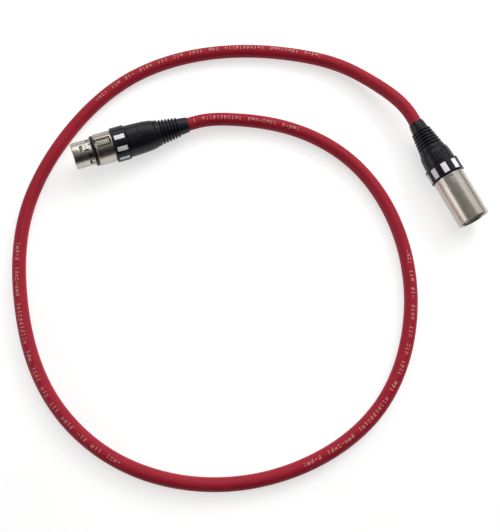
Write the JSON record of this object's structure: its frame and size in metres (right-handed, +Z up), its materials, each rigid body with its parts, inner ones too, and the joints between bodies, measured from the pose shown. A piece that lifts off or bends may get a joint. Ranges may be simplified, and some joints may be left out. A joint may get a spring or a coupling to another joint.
{
  "type": "xlr cable",
  "caption": "Balanced microphone lead: round red cable in loose open turns, with a pin plug on one end and a latching socket on the other, each with a screw cap and a ribbed boot.",
  "frame": {"origin": "on the table, under the middle of the box round the two connectors with their boots, the cable left out", "axes": "+Z up from the table, -Y the way the plug's pins point, +X to the plug's side of the loop"},
  "size_m": [0.2794, 0.266, 0.0216],
  "materials": {
    "jacket": "satin red flexible jacket with a fine grain",
    "nickel": "satin nickel plate",
    "black_plastic": "moulded black polyamide, satin",
    "rubber": "matt black rubber",
    "white_plastic": "moulded off-white plastic",
    "plated_brass": "gold flash on turned brass",
    "spring_steel": "bright spring strip",
    "red_core": "red core insulation",
    "white_core": "white core insulation",
    "black_sleeve": "black sleeve over the screen"
  },
  "bodies": {
    "lead": {"cable": "jacket", "latch_pin": "spring_steel", "latch_spring": "spring_steel", "plug_chuck": "white_plastic", "plug_cold_core": "white_core", "plug_ground_contact": "spring_steel", "plug_hot_core": "red_core", "plug_insert": "black_plastic", "plug_pin_1": "plated_brass", "plug_pin_2": "plated_brass", "plug_pin_3": "plated_brass", "plug_screen_tail": "black_sleeve", "plug_shell": "nickel", "socket_chuck": "white_plastic", "socket_cold_core": "white_core", "socket_contact_1": "plated_brass", "socket_contact_2": "plated_brass", "socket_contact_3": "plated_brass", "socket_gasket": "rubber", "socket_ground_contact": "spring_steel", "socket_hot_core": "red_core", "socket_housing": "nickel", "socket_insert": "black_plastic", "socket_screen_tail": "black_sleeve"},
    "latch_lever": {"latch": "nickel"},
    "socket_ring": {"socket_coding_ring": "black_plastic", "socket_label_band": "white_plastic"},
    "socket_cap": {"socket_bushing": "black_plastic", "socket_boot": "rubber"},
    "plug_ring": {"plug_coding_ring": "black_plastic", "plug_label_band": "white_plastic"},
    "plug_cap": {"plug_bushing": "black_plastic", "plug_boot": "rubber"}
  },
  "joints": [
    {"name": "latch_press", "type": "hinge", "parent": "lead", "child": "latch_lever", "pos_m": [-0.07958, 0.06345, 0.018], "axis": [-0.1184, -0.993, 0], "range_deg": [0, 4], "stiffness_Nm_per_rad": 0.1, "springref_deg": -5.73},
    {"name": "socket_cap_travel", "type": "slide", "parent": "lead", "child": "socket_ring", "axis": [0.9892, -0.118, -0.0872], "range_m": [0, 0.00375]},
    {"name": "socket_cap_turn", "type": "hinge", "parent": "socket_ring", "child": "socket_cap", "pos_m": [-0.0297, 0.0575, 0.00698], "axis": [0.9892, -0.118, -0.0872], "range_deg": [0, 1080]},
    {"name": "plug_cap_travel", "type": "slide", "parent": "lead", "child": "plug_ring", "axis": [0, 1, 0], "range_m": [0, 0.00375]},
    {"name": "plug_cap_turn", "type": "hinge", "parent": "plug_ring", "child": "plug_cap", "pos_m": [0.093, -0.0038, 0.0105], "axis": [0, 1, 0], "range_deg": [0, 1080]}
  ],
  "couplings": [
    {"joint": "socket_cap_turn", "follows": "socket_cap_travel", "rad_per_m": 5026.5},
    {"joint": "plug_cap_turn", "follows": "plug_cap_travel", "rad_per_m": 5026.5}
  ]
}
